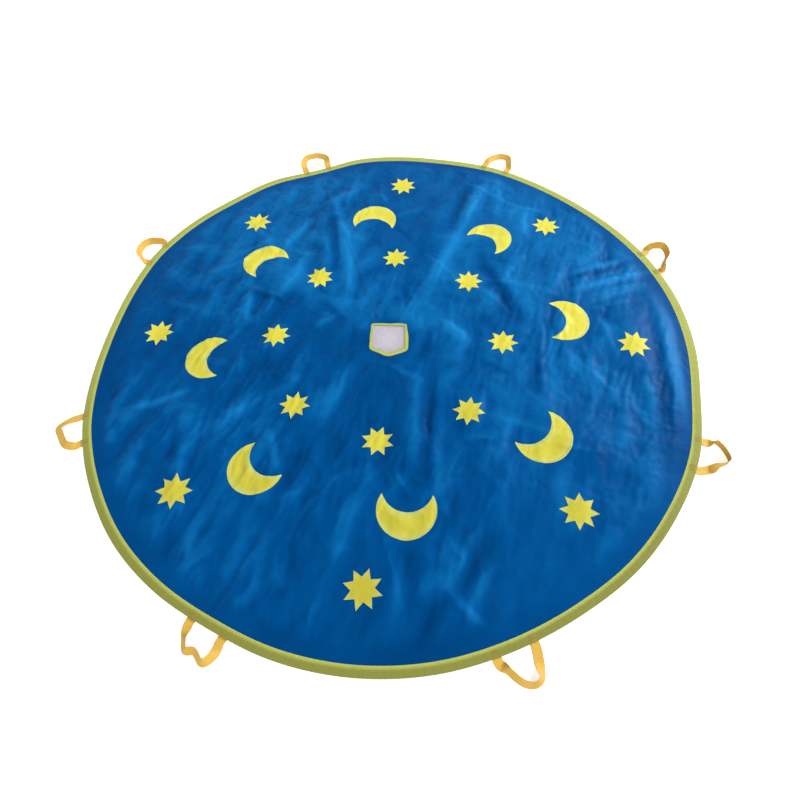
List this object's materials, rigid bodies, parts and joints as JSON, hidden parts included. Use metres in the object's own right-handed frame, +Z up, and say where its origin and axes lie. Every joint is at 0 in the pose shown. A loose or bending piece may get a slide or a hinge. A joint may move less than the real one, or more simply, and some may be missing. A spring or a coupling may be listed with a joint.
{
  "type": "play parachute",
  "caption": "Round play parachute of sewn gores laid flat, with a folded rim binding, a netted vent, sewn-on crescents and stars, and hinged webbing loop handles round the rim.",
  "frame": {"origin": "middle of the canopy, on the ground it lies on", "axes": "+Z up; -Y along the centre line of the first gore; +X to the right of it, seen from above"},
  "size_m": [2, 2, 0.025],
  "materials": {
    "blue_nylon": "plain-woven nylon with a satin sheen",
    "yellow_cloth": "plain-woven cloth, matt",
    "green_binding_tape": "ribbed woven tape, matt",
    "golden_webbing": "woven webbing, matt",
    "pale_net": "open knitted net, matt"
  },
  "bodies": {
    "canopy": {"gore_1": "blue_nylon", "gore_2": "blue_nylon", "gore_3": "blue_nylon", "gore_4": "blue_nylon", "gore_5": "blue_nylon", "gore_6": "blue_nylon", "gore_7": "blue_nylon", "gore_8": "blue_nylon", "crescent_1": "yellow_cloth", "crescent_2": "yellow_cloth", "crescent_3": "yellow_cloth", "crescent_4": "yellow_cloth", "crescent_5": "yellow_cloth", "crescent_6": "yellow_cloth", "crescent_7": "yellow_cloth", "crescent_8": "yellow_cloth", "outer_star_1": "yellow_cloth", "outer_star_2": "yellow_cloth", "outer_star_3": "yellow_cloth", "outer_star_4": "yellow_cloth", "outer_star_5": "yellow_cloth", "outer_star_6": "yellow_cloth", "outer_star_7": "yellow_cloth", "outer_star_8": "yellow_cloth", "inner_star_1": "yellow_cloth", "inner_star_2": "yellow_cloth", "inner_star_3": "yellow_cloth", "inner_star_4": "yellow_cloth", "inner_star_5": "yellow_cloth", "inner_star_6": "yellow_cloth", "inner_star_7": "yellow_cloth", "inner_star_8": "yellow_cloth", "rim_binding": "green_binding_tape", "vent_tape": "green_binding_tape", "vent_net": "pale_net", "handle_1_end_a": "golden_webbing", "handle_1_end_b": "golden_webbing", "handle_2_end_a": "golden_webbing", "handle_2_end_b": "golden_webbing", "handle_3_end_a": "golden_webbing", "handle_3_end_b": "golden_webbing", "handle_4_end_a": "golden_webbing", "handle_4_end_b": "golden_webbing", "handle_5_end_a": "golden_webbing", "handle_5_end_b": "golden_webbing", "handle_6_end_a": "golden_webbing", "handle_6_end_b": "golden_webbing", "handle_7_end_a": "golden_webbing", "handle_7_end_b": "golden_webbing", "handle_8_end_a": "golden_webbing", "handle_8_end_b": "golden_webbing"},
    "handle_loop_1": {"handle_1": "golden_webbing"},
    "handle_loop_2": {"handle_2": "golden_webbing"},
    "handle_loop_3": {"handle_3": "golden_webbing"},
    "handle_loop_4": {"handle_4": "golden_webbing"},
    "handle_loop_5": {"handle_5": "golden_webbing"},
    "handle_loop_6": {"handle_6": "golden_webbing"},
    "handle_loop_7": {"handle_7": "golden_webbing"},
    "handle_loop_8": {"handle_8": "golden_webbing"}
  },
  "joints": [
    {"name": "handle_1_flop", "type": "hinge", "parent": "canopy", "child": "handle_loop_1", "pos_m": [0.38395, -0.92695, 0.00155], "axis": [-0.9239, -0.3827, 0], "range_deg": [0, 140]},
    {"name": "handle_2_flop", "type": "hinge", "parent": "canopy", "child": "handle_loop_2", "pos_m": [0.92695, -0.38395, 0.00155], "axis": [-0.3827, -0.9239, 0], "range_deg": [0, 140]},
    {"name": "handle_3_flop", "type": "hinge", "parent": "canopy", "child": "handle_loop_3", "pos_m": [0.92695, 0.38395, 0.00155], "axis": [0.3827, -0.9239, 0], "range_deg": [0, 140]},
    {"name": "handle_4_flop", "type": "hinge", "parent": "canopy", "child": "handle_loop_4", "pos_m": [0.38395, 0.92695, 0.00155], "axis": [0.9239, -0.3827, 0], "range_deg": [0, 140]},
    {"name": "handle_5_flop", "type": "hinge", "parent": "canopy", "child": "handle_loop_5", "pos_m": [-0.38395, 0.92695, 0.00155], "axis": [0.9239, 0.3827, 0], "range_deg": [0, 140]},
    {"name": "handle_6_flop", "type": "hinge", "parent": "canopy", "child": "handle_loop_6", "pos_m": [-0.92695, 0.38395, 0.00155], "axis": [0.3827, 0.9239, 0], "range_deg": [0, 140]},
    {"name": "handle_7_flop", "type": "hinge", "parent": "canopy", "child": "handle_loop_7", "pos_m": [-0.92695, -0.38395, 0.00155], "axis": [-0.3827, 0.9239, 0], "range_deg": [0, 140]},
    {"name": "handle_8_flop", "type": "hinge", "parent": "canopy", "child": "handle_loop_8", "pos_m": [-0.38395, -0.92695, 0.00155], "axis": [-0.9239, 0.3827, 0], "range_deg": [0, 140]}
  ]
}
